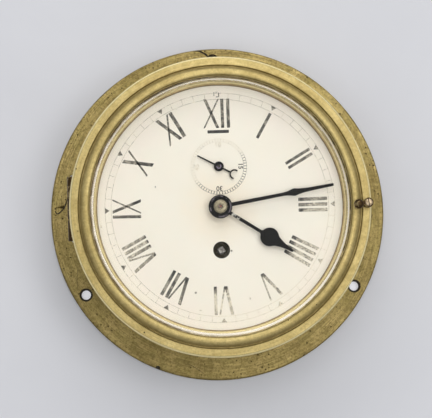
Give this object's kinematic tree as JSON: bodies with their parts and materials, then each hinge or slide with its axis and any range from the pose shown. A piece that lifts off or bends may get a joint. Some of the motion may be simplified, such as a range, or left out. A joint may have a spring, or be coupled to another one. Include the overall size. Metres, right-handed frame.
{
  "type": "ship's clock",
  "caption": "Round wall clock with a flanged drum case, a hinged bezel holding bevelled glass, a numbered dial with a seconds circle, and a key-wound lever movement.",
  "frame": {"origin": "centre of the closed flat back, on the wall plane", "axes": "+Z to 12 o'clock, +X to 3 o'clock, +Y into the wall, so the dial faces -Y"},
  "size_m": [0.208, 0.0696, 0.208],
  "materials": {
    "case_brass": "dull brown patina, brushed round, pitted",
    "bezel_brass": "satin, turned, worn bright on its edges",
    "sight_ring_brass": "satin, dulled",
    "dark_bronze": "darkened, worn bright where it is touched",
    "glass": "clear, polished, with a bevelled edge",
    "dial_paint": "satin cream paint, aged",
    "blackened_steel": "black, satin, worn grey in places",
    "collet_brass": "pale, satin",
    "movement_brass": "turned, lightly grained",
    "steel": "grey, fine ground"
  },
  "bodies": {
    "case": {"case_body": "case_brass", "back_cover": "case_brass", "dial_plate": "dial_paint", "dial_screw_1": "movement_brass", "dial_screw_2": "movement_brass", "dial_screw_3": "movement_brass", "hinge_case_leaf": "dark_bronze", "hinge_case_screw_1": "dark_bronze", "hinge_case_screw_2": "dark_bronze", "hinge_pin": "steel", "movement_front_plate": "movement_brass", "movement_back_plate": "movement_brass", "plate_pillar_1": "movement_brass", "plate_pillar_2": "movement_brass", "plate_pillar_3": "movement_brass", "dial_foot_1": "movement_brass", "dial_foot_2": "movement_brass", "dial_foot_3": "movement_brass", "click_screw": "steel", "click_spring": "steel", "escapement_bridge": "movement_brass", "balance_cock": "movement_brass", "minute_wheel_stud": "steel"},
    "bezel": {"bezel_ring": "bezel_brass", "bezel_glass": "glass", "sight_ring": "sight_ring_brass", "hinge_bezel_leaf": "dark_bronze", "hinge_bezel_rivet_1": "dark_bronze", "hinge_bezel_rivet_2": "dark_bronze"},
    "catch": {"catch_lever": "dark_bronze", "catch_shaft": "steel", "catch_hook": "steel", "catch_screw": "bezel_brass"},
    "minute_hand_set": {"minute_hand": "blackened_steel", "hand_collet": "collet_brass", "cannon_pinion": "steel"},
    "minute_wheel_set": {"minute_wheel": "movement_brass"},
    "hour_hand_set": {"hour_hand": "blackened_steel", "hour_wheel": "movement_brass"},
    "seconds_hand_set": {"seconds_hand": "blackened_steel", "fourth_arbor": "steel", "fourth_wheel": "movement_brass"},
    "third_wheel_set": {"third_wheel": "movement_brass", "third_arbor": "steel"},
    "centre_wheel_set": {"centre_wheel": "movement_brass", "centre_arbor": "steel"},
    "second_wheel_set": {"second_wheel": "movement_brass", "second_arbor": "steel"},
    "barrel_set": {"barrel_drum": "movement_brass", "barrel_cap": "movement_brass", "mainspring": "steel"},
    "escape_wheel_set": {"escape_wheel": "steel", "escape_arbor": "steel"},
    "winding_arbor": {"barrel_arbor": "steel", "ratchet_wheel": "steel"},
    "click_set": {"click": "steel"},
    "pallets": {"pallet_lever": "steel"},
    "balance": {"balance_wheel": "movement_brass", "balance_staff": "steel", "hairspring": "steel"}
  },
  "joints": [
    {"name": "bezel_hinge", "type": "hinge", "parent": "case", "child": "bezel", "pos_m": [-0.0882, -0.0476, 0.002], "axis": [0, 0, -1], "range_deg": [0, 120]},
    {"name": "catch_turn", "type": "hinge", "parent": "bezel", "child": "catch", "pos_m": [0.08749, -0.056, -0.00114], "axis": [0, -1, 0], "range_deg": [0, 90]},
    {"name": "minute_turn", "type": "hinge", "parent": "case", "child": "minute_hand_set", "pos_m": [0, -0.0484, 0], "axis": [0, 1, 0], "continuous": true},
    {"name": "minute_wheel_turn", "type": "hinge", "parent": "case", "child": "minute_wheel_set", "pos_m": [-0.00935, -0.0394, 0.0054], "axis": [0, 1, 0], "continuous": true},
    {"name": "hour_turn", "type": "hinge", "parent": "case", "child": "hour_hand_set", "pos_m": [0, -0.0472, 0], "axis": [0, 1, 0], "continuous": true},
    {"name": "seconds_turn", "type": "hinge", "parent": "case", "child": "seconds_hand_set", "pos_m": [0, -0.0484, 0.0245], "axis": [0, 1, 0], "continuous": true},
    {"name": "third_turn", "type": "hinge", "parent": "case", "child": "third_wheel_set", "pos_m": [-0.00677, -0.0156, 0.01271], "axis": [0, 1, 0], "continuous": true},
    {"name": "centre_turn", "type": "hinge", "parent": "case", "child": "centre_wheel_set", "pos_m": [0, -0.0156, 0], "axis": [0, 1, 0], "continuous": true},
    {"name": "second_turn", "type": "hinge", "parent": "case", "child": "second_wheel_set", "pos_m": [0.014, -0.0156, -0.00722], "axis": [0, 1, 0], "continuous": true},
    {"name": "barrel_turn", "type": "hinge", "parent": "case", "child": "barrel_set", "pos_m": [0, -0.0156, -0.0256], "axis": [0, 1, 0], "continuous": true},
    {"name": "escape_turn", "type": "hinge", "parent": "case", "child": "escape_wheel_set", "pos_m": [0.01276, -0.0156, 0.02675], "axis": [0, 1, 0], "continuous": true},
    {"name": "winding_turn", "type": "hinge", "parent": "case", "child": "winding_arbor", "pos_m": [0, -0.0394, -0.0256], "axis": [0, 1, 0], "range_deg": [0, 1800]},
    {"name": "click_lift", "type": "hinge", "parent": "case", "child": "click_set", "pos_m": [-0.01216, -0.0394, -0.02897], "axis": [0, -1, 0], "range_deg": [0, 12], "stiffness_Nm_per_rad": 0.002, "springref_deg": -5.73},
    {"name": "pallet_rock", "type": "hinge", "parent": "case", "child": "pallets", "pos_m": [0.01474, -0.0117, 0.02133], "axis": [0, 1, 0], "range_deg": [-4, 4]},
    {"name": "balance_swing", "type": "hinge", "parent": "case", "child": "balance", "pos_m": [0.01747, -0.0067, 0.01381], "axis": [0, 1, 0], "range_deg": [-120, 120], "stiffness_Nm_per_rad": 0.000016}
  ],
  "couplings": [
    {"joint": "minute_wheel_turn", "follows": "minute_turn", "ratio": -0.33333},
    {"joint": "hour_turn", "follows": "minute_turn", "ratio": 0.083333},
    {"joint": "third_turn", "follows": "seconds_turn", "ratio": -0.13333},
    {"joint": "centre_turn", "follows": "seconds_turn", "ratio": 0.016667},
    {"joint": "second_turn", "follows": "seconds_turn", "ratio": -0.0027778},
    {"joint": "barrel_turn", "follows": "seconds_turn", "ratio": 0.00046296},
    {"joint": "escape_turn", "follows": "seconds_turn", "ratio": -8}
  ]
}
